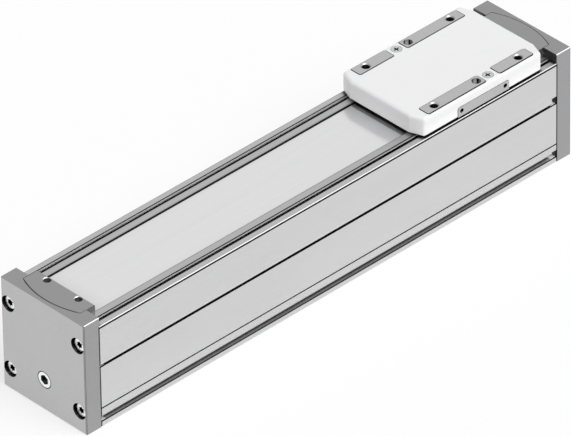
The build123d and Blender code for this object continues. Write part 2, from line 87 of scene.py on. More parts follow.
# How many finer layers a pattern of marks has: lines and stains, grains, and the wave. Then how
# strong they are, and the middle of the pattern, which holds nearly all of it.
LINE_DETAIL = 3.0
GRAIN_DETAIL = 2.0
WAVE_DETAIL = 1.0
MARK_ROUGHNESS = 0.6
MARK_MIDDLE = (0.3, 0.7)

# How far the sharp edges are broken on machined pieces, on small turned or ground ones, and on
# the heads of the cover screws, and the radius of the moulded edges of the slide cover
EDGE_BREAK = 0.15 * MM
SMALL_EDGE_BREAK = 0.2 * MM
COVER_SCREW_BREAK = 0.35 * MM
MOULDED_EDGE = 0.5 * MM

# Share of bare metal in the look of anodised faces: the extrusion, its walls that catch the
# lamp, the sides of the carrier, and the centring holes
EXTRUSION_METAL = 0.5
LIT_METAL = 0.1
CARRIER_SIDE_METAL = 0.2
REAMED_METAL = 0.5

# Refraction of the plastics and of rubber
POLYAMIDE_IOR = 1.53
RUBBER_IOR = 1.52
PLASTIC_IOR = 1.5

# What the painted shade leaves of a colour at the bottom of a narrow gap, and of the strip's in the
# painted shadow of the slide
DEEPEST_SHADE = 0.03
STRIP_SHADE = 0.5

# From the first value on a surface counts as turned to an axis, and fully so from the second:
# for the painted light of its faces, for their painted shade, and for the painted highlight on the long
# bevels
SQUARE = (0.8, 0.95)
LYING = (0.75, 0.9)
BEVELLED = (0.35, 0.45)

# The sloping lips of the side slots, by how far they face down: where their painted light and
# shade comes in, and where it goes out again
LIP_LEANS_FROM = (-0.1, -0.2)
LIP_LEANS_TO = (-0.6, -0.4)

# Over how long a way a tone painted by position fades out
FADE = 0.1 * MM
SHARP_FADE = 0.05 * MM

# How well the broken normal matches the true one away from an edge and on it, and how many
# samples find edges and gaps
EDGE_FOUND = (0.995, 0.85)
EDGE_SAMPLES = 6
GAP_SAMPLES = 8

# Half width of the dark lines along edges, and the part of it that keeps the full tone
EDGE_REACH = 0.5 * MM
LINE_CORE = 0.6

# Outer faces of the housing's long sides, as distance from the middle plane, and its top
OUTER_FACE = 30.0 * MM
HOUSING_TOP = 61.0 * MM

# Long edges of the profile that look dark: distance from the middle plane, height, half width
DARK_EDGES = (
    (26.1 * MM, HOUSING_TOP, EDGE_REACH),
    (29.6 * MM, 3.15 * MM, 0.52 * MM),
    (OUTER_FACE, 60.15 * MM, 0.68 * MM),
)

# The outer edge of the top on the left side
LEFT_EDGE = (29.8 * MM, HOUSING_TOP)

# The edges of the cover carrier: beside the top slots, and beside the strip
CARRIER_EDGE = (23.4 * MM, HOUSING_TOP)
RECESS_EDGE = (19.0 * MM, HOUSING_TOP)

# The walls of the strip's recess look black: from the first distance in, and fully from the second
RECESS_WALL = (19.05 * MM, 19.01 * MM)

# Narrow grooves in the long sides, painted black as the shade inside them: middle height, half height
# and depth
DARK_GROOVES = (
    (60.0 * MM, 0.45 * MM, 1.0 * MM),
    (36.6 * MM, 0.75 * MM, 10.0 * MM),
    (11.2 * MM, 0.45 * MM, 1.0 * MM),
    (5.6 * MM, 0.4 * MM, 10.0 * MM),
)

# How far behind the outer face a groove's painted shade starts, and how far it fades past its half
# height
GROOVE_START = 0.03 * MM
GROOVE_FADE = 1.05

# Heights at which the side slots open below their sloping lips, the height of the lips, and a
# height between the two slots
SLOT_MOUTHS = (37.2 * MM, 5.9 * MM)
LIP_RISE = 1.15 * MM
BETWEEN_SLOTS = 20.0 * MM

# The top slots: the walls are painted black as shade below the first height and above the
# second, the inner walls of the lips above the first are painted white as lit, and this is how far the
# slots reach sideways
SLOT_SHADE = 58.35 * MM
ROOM_FLOOR = 40.0 * MM
ROOM_SIDE = 27.2 * MM

# Ends of the profile and of the caps, as distances from the middle
PROFILE_END = 159.6 * MM
CAP_END = 170.0 * MM

# The open ends of the side slots: length, depth behind the outer face, and highest point
SLOT_ENTRY = 3.4 * MM
ENTRY_DEPTH = 0.9 * MM
ENTRY_TOP = 58.0 * MM

# The dark joint between profile and caps: place and half width of its line on each, the height
# at which it ends, and how near to the outer face it shows on a cap
PROFILE_JOINT = (PROFILE_END, 0.35 * MM)
CAP_JOINT = (PROFILE_END + 0.25 * MM, 0.4 * MM)
JOINT_TOP = 60.5 * MM
JOINT_SIDE = 29.0 * MM
JOINT_FADE = 0.2 * MM

# The caps: the upright chamfers of the end face and how wide they look, how deep behind that
# face the inner faces start, which are painted dark as shade, and the heights over which the painted
# shade of the pockets fades out
CAP_CHAMFER = 0.5 * MM
CHAMFER_REACH = 0.25 * MM
CAP_SKIN = 2.0 * MM
POCKET_SHADE = (58.0 * MM, 60.0 * MM)

# The arc at the back of the near clamp: distance of its centre from the middle, radius, half
# width of its line, and how far from the middle plane it ends
CLAMP_ARC_CENTRE = 118.76 * MM
CLAMP_LINE_RADIUS = 49.09 * MM
CLAMP_LINE_REACH = 0.6 * MM
CLAMP_LINE_SIDE = 19.2 * MM
CLAMP_LINE_FADE = 0.4 * MM

# The two centring holes in the pads: radius of their painted light and reflections, just past their
# walls, distance of their axes from the middle plane, and the top of the pads
CENTRING_REACH = 2.7 * MM
CENTRING_ASIDE = 24.5 * MM
PAD_TOP = 73.5 * MM

# Painted reflection streaks in the centring holes: distance from the axis at 45 degrees across, half
# width and colour
PAINTED_BORE_REFLECTIONS = (
    (-1.8 * MM, 0.5 * MM, "#686869"),
    (0.75 * MM, 0.7 * MM, "#1A1A1B"),
    (1.85 * MM, 0.45 * MM, "#A0A0A1"),
)

# The slide cover: its lower edge, the painted shadow line along it and the way over which that fades,
# and the heights between which its end faces turn lighter
COVER_BOTTOM = 62.6 * MM
COVER_SHADOW_LINE = 0.5 * MM
COVER_SHADOW_FADE = 0.2 * MM
COVER_PALE = (69.0 * MM, 64.0 * MM)

# The heads of the cap screws and of the sealing plugs: radius, width of a plug's dark rim, and
# the way over which a rim starts
CAP_SCREW_RADIUS = 3.55 * MM
PLUG_RADIUS = 4.85 * MM
PLUG_RIM = 0.6 * MM
RIM_FADE = 0.15 * MM

# Depth of the recess in the head of a cover screw, painted dark as shade
CROSS_DEPTH = 0.3 * MM


# Camera

def place_camera():
    """Stands the camera where the photograph was taken from."""
    turn = math.radians(CAMERA_TURN)
    drop = math.radians(CAMERA_DROP)
    roll = math.radians(CAMERA_ROLL)
    look = Vector((math.cos(turn) * math.cos(drop), math.sin(turn) * math.cos(drop), -math.sin(drop)))
    level_right = look.cross(Vector((0, 0, 1))).normalized()
    level_up = level_right.cross(look)
    right = math.cos(roll) * level_right + math.sin(roll) * level_up
    up = math.cos(roll) * level_up - math.sin(roll) * level_right
    target = Vector((0, 0, AIM_HEIGHT)) + AIM_RIGHT * right + AIM_UP * up
    camera = bpy.data.objects.new("camera", bpy.data.cameras.new("camera"))
    bpy.context.scene.collection.objects.link(camera)
    axes = Matrix((right, up, -look)).transposed()
    camera.matrix_world = Matrix.Translation(target - CAMERA_DISTANCE * look) @ axes.to_4x4()
    camera.data.sensor_fit = "HORIZONTAL"
    camera.data.sensor_width = SENSOR_WIDTH
    camera.data.lens = FOCAL_PIXELS / PHOTO_WIDTH * SENSOR_WIDTH
    camera.data.clip_start = NEAREST_SEEN
    camera.data.clip_end = FURTHEST_SEEN
    bpy.context.scene.camera = camera


# Colours and nodes

def linear(code):
    """A colour written as an sRGB hex code, as the linear values that Blender works with."""
    channels = [int(code[i:i + 2], 16) / 255 for i in (1, 3, 5)]
    bent = [c / 12.92 if c <= 0.04045 else ((c + 0.055) / 1.055) ** 2.4 for c in channels]
    return (*bent, 1.0)


def add(tree, kind, inputs=None, **settings):
    """Adds a node. inputs maps a socket's name or number to a value, or to the socket that feeds it."""
    node = tree.nodes.new(kind)
    for name, value in settings.items():
        setattr(node, name, value)
    for key, value in (inputs or {}).items():
        if isinstance(value, bpy.types.NodeSocket):
            tree.links.new(value, node.inputs[key])
        else:
            node.inputs[key].default_value = value
    return node


def new_material(name):
    """An empty node material, as (material, its tree)."""
    material = bpy.data.materials.new(name)
    material.use_nodes = True
    material.node_tree.nodes.clear()
    return material, material.node_tree


def finish_material(tree, shader):
    """Puts the finished shader on the surface."""
    add(tree, "ShaderNodeOutputMaterial", {"Surface": shader.outputs[0]})


# Shares and places. A share is 1 where something holds and 0 where it doesn't.

def all_of(tree, first, *others):
    """Where several shares hold at once, which is their product."""
    for other in others:
        first = add(tree, "ShaderNodeMath", {0: first, 1: other}, operation="MULTIPLY").outputs[0]
    return first


def larger(tree, first, second):
    """The larger of two values, or where either of two shares holds."""
    return add(tree, "ShaderNodeMath", {0: first, 1: second}, operation="MAXIMUM").outputs[0]


def apart(tree, value, place=0.0):
    """How far a value lies from a place, on either side of it."""
    gap = add(tree, "ShaderNodeMath", {0: value, 1: place}, operation="SUBTRACT")
    return add(tree, "ShaderNodeMath", {0: gap.outputs[0]}, operation="ABSOLUTE").outputs[0]


def nearest(tree, value, places):
    """How far a value lies from the nearer of two places."""
    first, second = [apart(tree, value, place) for place in places]
    return add(tree, "ShaderNodeMath", {0: first, 1: second}, operation="MINIMUM").outputs[0]


def distance(tree, across, up):
    """The length of two distances that stand square to each other."""
    flat = add(tree, "ShaderNodeCombineXYZ", {0: across, 1: up})
    return add(tree, "ShaderNodeVectorMath", {0: flat.outputs[0]}, operation="LENGTH").outputs["Value"]


def ramp(tree, value, start, end, low=0.0, high=1.0):
    """A value stretched so that start gives low and end gives high, and held beyond them."""
    spans = {"Value": value, "From Min": start, "From Max": end, "To Min": low, "To Max": high}
    return add(tree, "ShaderNodeMapRange", spans).outputs[0]


def below(tree, value, place, fade=FADE):
    """0 from a place up, and 1 from a short fade below it down."""
    return ramp(tree, value, place, place - fade)


def above(tree, value, place, fade=FADE):
    """0 up to a place, and 1 from a short fade above it up."""
    return ramp(tree, value, place, place + fade)


def near(tree, value, place, reach):
    """1 where a value is close to a place, and 0 from the given reach on."""
    return ramp(tree, apart(tree, value, place), reach, LINE_CORE * reach)


def position(tree):
    """Where the surface lies: X along the axis, Y across it and Z up, from the middle of the floor."""
    place = add(tree, "ShaderNodeTexCoord")
    return add(tree, "ShaderNodeSeparateXYZ", {0: place.outputs["Object"]}).outputs


def facing(tree):
    """How squarely the surface faces X, Y and Z, each from 0 to 1."""
    surface = add(tree, "ShaderNodeNewGeometry")
    turned = add(tree, "ShaderNodeVectorMath", {0: surface.outputs["True Normal"]}, operation="ABSOLUTE")
    return add(tree, "ShaderNodeSeparateXYZ", {0: turned.outputs[0]}).outputs


def faces(tree, axis):
    """Where the surface is square to an axis."""
    return ramp(tree, facing(tree)[axis], *SQUARE)


# Studio

def seen_directly(tree):
    """1 for what the camera and the reflections see, and 0 for light that falls on the object."""
    rays = add(tree, "ShaderNodeLightPath").outputs
    return larger(tree, rays["Is Camera Ray"], rays["Is Glossy Ray"])


def light_studio():
    """A white room: soft light from all round, and one broad lamp above the visible long side."""
    world = bpy.data.worlds.new("white studio")
    bpy.context.scene.world = world
    world.use_nodes = True
    tree = world.node_tree
    tree.nodes.clear()
    strength = ramp(tree, seen_directly(tree), 0.0, 1.0, SKY_LIGHT, 1.0)
    background = add(tree, "ShaderNodeBackground", {"Strength": strength})
    add(tree, "ShaderNodeOutputWorld", {"Surface": background.outputs[0]})

    lamp = bpy.data.lights.new("broad lamp", "SUN")
    lamp.energy = SUN_STRENGTH
    lamp.angle = math.radians(SUN_SPREAD)
    sun = bpy.data.objects.new("broad lamp", lamp)
    bpy.context.scene.collection.objects.link(sun)
    height = math.radians(SUN_ELEVATION)
    toward = Vector((0, -math.cos(height), math.sin(height)))
    sun.rotation_mode = "QUATERNION"
    sun.rotation_quaternion = toward.to_track_quat("Z", "Y")


def lay_floor():
    """A plain white floor, just clear of the underside of the axis."""
    half = FLOOR_SIZE / 2
    plan = ((-half, -half), (half, -half), (half, half), (-half, half))
    mesh = bpy.data.meshes.new("floor")
    mesh.from_pydata([(x, y, -FLOOR_DROP) for x, y in plan], [], [(0, 1, 2, 3)])
    floor = bpy.data.objects.new("floor", mesh)
    bpy.context.scene.collection.objects.link(floor)
    material, tree = new_material("white floor")
    paint = add(tree, "ShaderNodeBsdfDiffuse", {"Color": linear(FLOOR_WHITE)})
    glow = add(tree, "ShaderNodeEmission", {"Color": linear(FLOOR_WHITE), "Strength": 1.0})
    share = all_of(tree, seen_directly(tree), FLOOR_GLOW)
    both = add(tree, "ShaderNodeMixShader", {0: share, 1: paint.outputs[0], 2: glow.outputs[0]})
    finish_material(tree, both)
    mesh.materials.append(material)


# What the finishes share

def marks(tree, size, detail=LINE_DETAIL):
    """Marks left by making the surface, each about as long, wide and high as size says."""
    place = add(tree, "ShaderNodeTexCoord")
    grid = add(
        tree,
        "ShaderNodeVectorMath",
        {0: place.outputs["Object"], 1: [1 / side for side in size]},
        operation="MULTIPLY",
    )
    noise = {"Vector": grid.outputs[0], "Scale": 1.0, "Detail": detail, "Roughness": MARK_ROUGHNESS}
    return add(tree, "ShaderNodeTexNoise", noise).outputs["Fac"]


def between(tree, value, low, high):
    """A pattern stretched between two values. Noise keeps to the middle, so it is opened out."""
    return ramp(tree, value, *MARK_MIDDLE, low, high)


def either(tree, share, under, over):
    """A value between two others, at the given share of the way."""
    mixed = add(tree, "ShaderNodeMix", {0: share, 2: under, 3: over}, data_type="FLOAT")
    return mixed.outputs[0]


def blend(tree, share, under, over):
    """One colour laid over another in the given share."""
    mixed = add(tree, "ShaderNodeMix", {"Factor": share, "A": under, "B": over}, data_type="RGBA")
    return mixed.outputs["Result"]


def paint_over(tree, colour, nearness, bare, share=1.0):
    """A colour laid over another along an edge or in a place, in the given share: painted highlights,
    painted shade and painted light, and dark lines and joints.
    """
    return blend(tree, all_of(tree, nearness, share), colour, linear(bare))


def tinted(tree, colour, value):
    """A colour made lighter or darker by a pattern around 1."""
    grey = add(tree, "ShaderNodeCombineColor", {0: value, 1: value, 2: value})
    product = add(
        tree,
        "ShaderNodeMix",
        {"Factor": 1.0, "A": colour, "B": grey.outputs[0]},
        data_type="RGBA",
        blend_type="MULTIPLY",
    )
    return product.outputs["Result"]


def painted_light_by_face(tree, end, side, top, bevel):
    """Painted light and shade: one tone each for faces across X, Y and Z as the light falls on them, and
    one for the long bevels, mostly a painted highlight.
    """
    colour = blend(tree, faces(tree, "Z"), linear(side), linear(top))
    colour = blend(tree, faces(tree, "X"), colour, linear(end))
    turned = facing(tree)
    slope = all_of(tree, turned["Y"], turned["Z"])
    return blend(tree, ramp(tree, slope, *BEVELLED), colour, linear(bevel))


def painted_gap_shade(tree, reach, walls, tops, alone=False):
    """Painted shade: a factor that darkens a colour, nearly 0 inside gaps and recesses and 1 in the
    open. alone leaves other pieces out.

    walls and tops give the shut and the clear end of the scale for upright and for lying faces."""
    around = {"Distance": reach}
    seen = add(tree, "ShaderNodeAmbientOcclusion", around, samples=GAP_SAMPLES, only_local=alone)
    upright = ramp(tree, seen.outputs["AO"], *walls, DEEPEST_SHADE)
    lying = ramp(tree, seen.outputs["AO"], *tops, DEEPEST_SHADE)
    return either(tree, ramp(tree, facing(tree)["Z"], *LYING), upright, lying)


def rounded_edges(tree, radius):
    """The normal of the surface with its edges broken, and how near to an edge each point lies."""
    surface = add(tree, "ShaderNodeNewGeometry")
    broken = add(tree, "ShaderNodeBevel", {"Radius": radius}, samples=EDGE_SAMPLES)
    match = add(
        tree,
        "ShaderNodeVectorMath",
        {0: surface.outputs["True Normal"], 1: broken.outputs[0]},
        operation="DOT_PRODUCT",
    )
    return broken.outputs[0], ramp(tree, match.outputs["Value"], *EDGE_FOUND)


def relief(tree, pattern, depth, normal=None):
    """The normal of a surface with a pattern of the given depth."""
    inputs = {"Height": pattern, "Distance": depth, "Strength": 1.0}
    if normal is not None:
        inputs["Normal"] = normal
    return add(tree, "ShaderNodeBump", inputs).outputs[0]


def metal(tree, colour, roughness, normal, share=1.0):
    """share is the part of the light that bare metal reflects. The rest is spread by matt oxide."""
    shader = add(
        tree,
        "ShaderNodeBsdfPrincipled",
        {"Base Color": colour, "Metallic": share, "Roughness": roughness, "Normal": normal},
    )
    finish_material(tree, shader)


def plastic(tree, colour, roughness, normal, ior):
    """Plastic or rubber: its skin reflects a little, and the colour below spreads the rest."""
    shader = add(
        tree,
        "ShaderNodeBsdfPrincipled",
        {"Base Color": colour, "Roughness": roughness, "Normal": normal, "IOR": ior},
    )
    finish_material(tree, shader)


# Lines and places on the housing

def edge_line(tree, first, second, corner, reach):
    """1 along a straight edge, which is a corner in the plane of two directions."""
    return all_of(tree, near(tree, first, corner[0], reach), near(tree, second, corner[1], reach))


def joint_line(tree, endward, height, joint):
    """1 along the joint between profile and cap, up to the grooves below the top."""
    return all_of(tree, near(tree, endward, *joint), below(tree, height, JOINT_TOP))


def in_groove(tree, aside, height, middle, half, depth):
    """1 behind the outer face of a long side, within a groove."""
    behind = below(tree, aside, OUTER_FACE - GROOVE_START, FADE - GROOVE_START)
    level = ramp(tree, apart(tree, height, middle), GROOVE_FADE * half, half)
    return all_of(tree, behind, level, above(tree, aside, OUTER_FACE - depth - FADE))


def sloping_lips(tree, height):
    """Where the sloping lips of the side slots are, and how far up its lip each point lies."""
    surface = add(tree, "ShaderNodeNewGeometry")
    upward = add(tree, "ShaderNodeSeparateXYZ", {0: surface.outputs["True Normal"]}).outputs["Z"]
    leaning = all_of(tree, ramp(tree, upward, *LIP_LEANS_FROM), ramp(tree, upward, *LIP_LEANS_TO))
    return leaning, ramp(tree, nearest(tree, height, SLOT_MOUTHS), 0.0, LIP_RISE)


def top_slots(tree, aside, height):
    """Inside the top slots: where the inner walls of the lips are, and the room below them."""
    within = below(tree, aside, ROOM_SIDE)
    high = above(tree, height, SLOT_SHADE - SHARP_FADE, SHARP_FADE)
    low = below(tree, height, SLOT_SHADE, SHARP_FADE)
    lip_walls = all_of(tree, high, faces(tree, "Y"), within)
    return lip_walls, all_of(tree, low, above(tree, height, ROOM_FLOOR, MM), within)


def slot_entries(tree, endward, aside, height):
    """1 inside the open ends of the side slots."""
    last = above(tree, endward, PROFILE_END - SLOT_ENTRY - SHARP_FADE, SHARP_FADE)
    behind = below(tree, aside, OUTER_FACE - ENTRY_DEPTH)
    return all_of(tree, last, behind, below(tree, height, ENTRY_TOP, MM))


def clamp_line(tree, along, aside):
    """1 along the arc between the near clamp and its cap, which stops short of the corners."""
    radius = distance(tree, apart(tree, along, -CLAMP_ARC_CENTRE), aside)
    arc = near(tree, radius, CLAMP_LINE_RADIUS, CLAMP_LINE_REACH)
    return all_of(tree, arc, below(tree, aside, CLAMP_LINE_SIDE, CLAMP_LINE_FADE))


# Finishes of the housing

def anodised_extrusion():
    """Natural anodised aluminium from an extrusion die: satin, with faint lines along its length."""
    material, tree = new_material("anodised extrusion")
    die_lines = marks(tree, DIE_LINES)
    clouds = marks(tree, EXTRUSION_CLOUDS)
    normal, edge = rounded_edges(tree, EDGE_BREAK)
    place = position(tree)
    across, height = place["Y"], place["Z"]
    aside = apart(tree, across)
    endward = apart(tree, place["X"])
    leaning, climb = sloping_lips(tree, height)
    lip_walls, room = top_slots(tree, aside, height)
    entries = slot_entries(tree, endward, aside, height)

    # Painted light and shade by face, with a painted highlight on the long bevels
    colour = painted_light_by_face(tree, end="#C9C9CA", side="#CFCFD0", top="#BFBFC0", bevel="#FFFFFF")
    # Painted light and shade on the sloping lips: dark at a slot's mouth, white at its top, whiter on
    # the upper slot
    upper_slot = above(tree, height, BETWEEN_SLOTS, MM)
    lip = blend(tree, upper_slot, linear("#E4E4E4"), linear("#FFFFFF"))
    colour = blend(tree, leaning, colour, blend(tree, climb, linear("#626262"), lip))
    # Painted light on the inner walls of the lips, and painted shade in the room below them
    colour = paint_over(tree, colour, lip_walls, "#FFFFFF")
    colour = paint_over(tree, colour, room, "#0A0A0A")
    colour = tinted(tree, colour, between(tree, die_lines, low=0.975, high=1.02))
    colour = tinted(tree, colour, between(tree, clouds, low=0.985, high=1.015))
    # Painted highlight along the edges
    colour = paint_over(tree, colour, edge, "#F4F4F4", share=0.2)
    for *corner, reach in DARK_EDGES:
        colour = paint_over(tree, colour, edge_line(tree, aside, height, corner, reach), "#161617")
    left_edge = edge_line(tree, across, height, LEFT_EDGE, EDGE_REACH)
    colour = paint_over(tree, colour, left_edge, "#2A2A2A", share=0.7)
    joint = joint_line(tree, endward, height, PROFILE_JOINT)
    colour = paint_over(tree, colour, joint, "#2A2A2A", share=0.7)
    # Painted shade: the grooves are black inside
    for groove in DARK_GROOVES:
        colour = paint_over(tree, colour, in_groove(tree, aside, height, *groove), "#1A1A1A")
    # Painted light: the open ends of the side slots are white
    colour = paint_over(tree, colour, entries, "#FFFFFF")

    # Painted shade in gaps and corners, left off the walls that carry painted light
    lit = larger(tree, lip_walls, entries)
    gaps = painted_gap_shade(tree, 4 * MM, walls=(0.1, 0.24), tops=(0.28, 0.6))
    corner_shade = painted_gap_shade(tree, 2.5 * MM, walls=(0.0, 0.05), tops=(0.72, 1.0))
    for shade in (gaps, corner_shade):
        colour = tinted(tree, colour, either(tree, lit, shade, 1.0))
    roughness = between(tree, die_lines, low=0.38, high=0.48)
    normal = relief(tree, die_lines, DIE_LINE_DEPTH, normal)
    metal(tree, colour, roughness, normal, either(tree, lit, EXTRUSION_METAL, LIT_METAL))
    return material


def anodised_carrier():
    """The same anodised aluminium on the flat rail that carries the strip. Its edges look dark."""
    material, tree = new_material("anodised carrier")
    die_lines = marks(tree, CARRIER_DIE_LINES)
    place = position(tree)
    height = place["Z"]
    aside = apart(tree, place["Y"])
    # Painted light by face: the sides of the carrier are white, as lit by the lamp
    colour = painted_light_by_face(tree, end="#C4C4C5", side="#FFFFFF", top="#C0C0C1", bevel="#C0C0C1")
    colour = tinted(tree, colour, between(tree, die_lines, low=0.975, high=1.02))
    outer = edge_line(tree, aside, height, CARRIER_EDGE, EDGE_REACH)
    inner = edge_line(tree, aside, height, RECESS_EDGE, EDGE_REACH)
    colour = paint_over(tree, colour, outer, "#141415")
    colour = paint_over(tree, colour, inner, "#3C3C3D", share=0.5)
    colour = paint_over(tree, colour, ramp(tree, aside, *RECESS_WALL), "#0A0A0A")
    # Painted shade in gaps
    colour = tinted(tree, colour, painted_gap_shade(tree, 3 * MM, walls=(0.1, 0.22), tops=(0.2, 0.5)))
    roughness = between(tree, die_lines, low=0.4, high=0.5)
    normal = relief(tree, die_lines, DIE_LINE_DEPTH, rounded_edges(tree, EDGE_BREAK)[0])
    share = ramp(tree, facing(tree)["Y"], 0.0, 1.0, 1.0, CARRIER_SIDE_METAL)
    metal(tree, colour, roughness, normal, share)
    return material


def blasted_cap():
    """Bead blasted and anodised aluminium with an even, fine grain, in painted light and shade: the end
    face is lighter than the rest.
    """
    material, tree = new_material("blasted cap")
    grain = marks(tree, BLASTED_GRAIN, detail=GRAIN_DETAIL)
    clouds = marks(tree, CAP_CLOUDS)
    normal, edge = rounded_edges(tree, EDGE_BREAK)
    place = position(tree)
    along, height = place["X"], place["Z"]
    aside = apart(tree, place["Y"])
    endward = apart(tree, along)

    # Painted light and shade by face: the end face lighter, and a painted highlight on the bevels
    colour = painted_light_by_face(tree, end="#C3C3C4", side="#A7A7A8", top="#A2A2A3", bevel="#FFFFFF")
    # Painted shade on the inner faces behind the end face
    inner = all_of(tree, faces(tree, "X"), below(tree, endward, CAP_END - CAP_SKIN))
    colour = paint_over(tree, colour, inner, "#5E5E5F")
    colour = tinted(tree, colour, between(tree, grain, low=0.975, high=1.02))
    colour = tinted(tree, colour, between(tree, clouds, low=0.985, high=1.015))
    colour = paint_over(tree, colour, edge, "#7A7A7B", share=0.5)
    joint = joint_line(tree, endward, height, CAP_JOINT)
    joint = all_of(tree, joint, above(tree, aside, JOINT_SIDE, JOINT_FADE))
    colour = paint_over(tree, colour, joint, "#2A2A2B", share=0.9)
    for corner in ((CAP_END, OUTER_FACE - CAP_CHAMFER), (CAP_END - CAP_CHAMFER, OUTER_FACE)):
        chamfer = edge_line(tree, endward, aside, corner, CHAMFER_REACH)
        colour = paint_over(tree, colour, chamfer, "#6A6A6B", share=0.6)
    colour = paint_over(tree, colour, clamp_line(tree, along, aside), "#3A3A3B", share=0.45)

    # Painted shade in the screw pockets below the top, and in gaps
    pocket_shade_factor = painted_gap_shade(tree, 12 * MM, walls=(0.5, 0.8), tops=(0.4, 0.7), alone=True)
    colour = tinted(tree, colour, either(tree, ramp(tree, height, *POCKET_SHADE), pocket_shade_factor, 1.0))
    colour = tinted(tree, colour, painted_gap_shade(tree, 3 * MM, walls=(0.02, 0.12), tops=(0.2, 0.45)))
    roughness = between(tree, clouds, low=0.46, high=0.56)
    metal(tree, colour, roughness, relief(tree, grain, BLASTED_DEPTH, normal))
    return material


def blasted_clamp():
    """The strip clamps, blasted like the caps and a shade darker."""
    material, tree = new_material("blasted clamp")
    grain = marks(tree, BLASTED_GRAIN, detail=GRAIN_DETAIL)
    normal, edge = rounded_edges(tree, EDGE_BREAK)
    place = position(tree)
    arc = clamp_line(tree, place["X"], apart(tree, place["Y"]))
    # Painted light and shade by face
    colour = painted_light_by_face(tree, end="#A0A0A1", side="#999999", top="#A2A2A3", bevel="#F4F4F4")
    colour = tinted(tree, colour, between(tree, grain, low=0.975, high=1.02))
    colour = paint_over(tree, colour, edge, "#6A6A6B", share=0.5)
    colour = paint_over(tree, colour, arc, "#3A3A3B", share=0.45)
    # Painted shade in gaps
    colour = tinted(tree, colour, painted_gap_shade(tree, 4 * MM, walls=(0.1, 0.35), tops=(0.1, 0.3)))
    roughness = between(tree, grain, low=0.44, high=0.54)
    metal(tree, colour, roughness, relief(tree, grain, BLASTED_DEPTH, normal))
    return material


def rolled_stainless():
    """Cold rolled stainless strip: smooth and bright, with rolling lines along it and a slight wave."""
    material, tree = new_material("rolled stainless")
    rolling = marks(tree, ROLLING_LINES)
    wave = marks(tree, STRIP_WAVE, detail=WAVE_DETAIL)
    colour = tinted(tree, linear("#F4F4F5"), between(tree, rolling, low=0.98, high=1.015))
    # Painted shade beside the recess walls, and the painted shadow of the slide
    colour = tinted(tree, colour, painted_gap_shade(tree, 1.5 * MM, walls=(0.0, 0.4), tops=(0.0, 0.4)))
    shadow = painted_gap_shade(tree, 14 * MM, walls=(0.0, 1.0), tops=(0.0, 0.95))
    colour = tinted(tree, colour, larger(tree, shadow, STRIP_SHADE))
    roughness = between(tree, rolling, low=0.12, high=0.18)
    lines = relief(tree, rolling, ROLLING_DEPTH)
    metal(tree, colour, roughness, relief(tree, wave, WAVE_DEPTH, lines))
    return material


# Finishes of the slide

def centring_holes(tree, middle):
    """Where the two centring holes are, and their colour: painted light on the walls, a grey bottom and
    painted reflection streaks.

    middle is the place along X of both holes."""
    place = position(tree)
    side = add(tree, "ShaderNodeMath", {0: place["Y"]}, operation="SIGN").outputs[0]
    axis = add(tree, "ShaderNodeCombineXYZ", {0: middle, 1: all_of(tree, side, CENTRING_ASIDE)})
    point = add(tree, "ShaderNodeCombineXYZ", {0: place["X"], 1: place["Y"]})
    ends = {0: point.outputs[0], 1: axis.outputs[0]}
    arm = add(tree, "ShaderNodeVectorMath", ends, operation="SUBTRACT").outputs[0]
    radius = add(tree, "ShaderNodeVectorMath", {0: arm}, operation="LENGTH").outputs["Value"]
    diagonal = {0: arm, 1: (math.sqrt(0.5), -math.sqrt(0.5), 0.0)}
    slant = add(tree, "ShaderNodeVectorMath", diagonal, operation="DOT_PRODUCT").outputs["Value"]
    # Painted light on the walls, a darker bottom, and painted reflection streaks
    colour = blend(tree, faces(tree, "Z"), linear("#CCCCCC"), linear("#9C9C9D"))
    for stripe_place, half, code in PAINTED_BORE_REFLECTIONS:
        colour = paint_over(tree, colour, near(tree, slant, stripe_place, half), code)
    around = below(tree, radius, CENTRING_REACH)
    return all_of(tree, around, below(tree, place["Z"], PAD_TOP - FADE, SHARP_FADE)), colour


def milled_aluminium(middle):
    """Aluminium milled on all sides and anodised: fine feed marks across the pads.

    middle is the place along X of the two reamed centring holes, with painted light and reflections
    inside."""
    material, tree = new_material("milled aluminium")
    feed = marks(tree, FEED_MARKS)
    normal, edge = rounded_edges(tree, EDGE_BREAK)
    reamed, inside = centring_holes(tree, middle)
    # Painted light and shade by face
    colour = painted_light_by_face(tree, end="#C4C4C5", side="#C0C0C1", top="#C7C7C8", bevel="#D4D4D5")
    colour = tinted(tree, colour, between(tree, feed, low=0.97, high=1.02))
    colour = paint_over(tree, colour, edge, "#8A8A8B", share=0.5)
    colour = blend(tree, reamed, colour, inside)
    # Painted shade in gaps, left off the centring holes
    gaps = painted_gap_shade(tree, 3 * MM, walls=(0.8, 1.0), tops=(0.3, 0.5))
    colour = tinted(tree, colour, either(tree, reamed, gaps, 1.0))
    roughness = between(tree, feed, low=0.38, high=0.48)
    normal = relief(tree, feed, FEED_DEPTH, normal)
    metal(tree, colour, roughness, normal, either(tree, reamed, 1.0, REAMED_METAL))
    return material


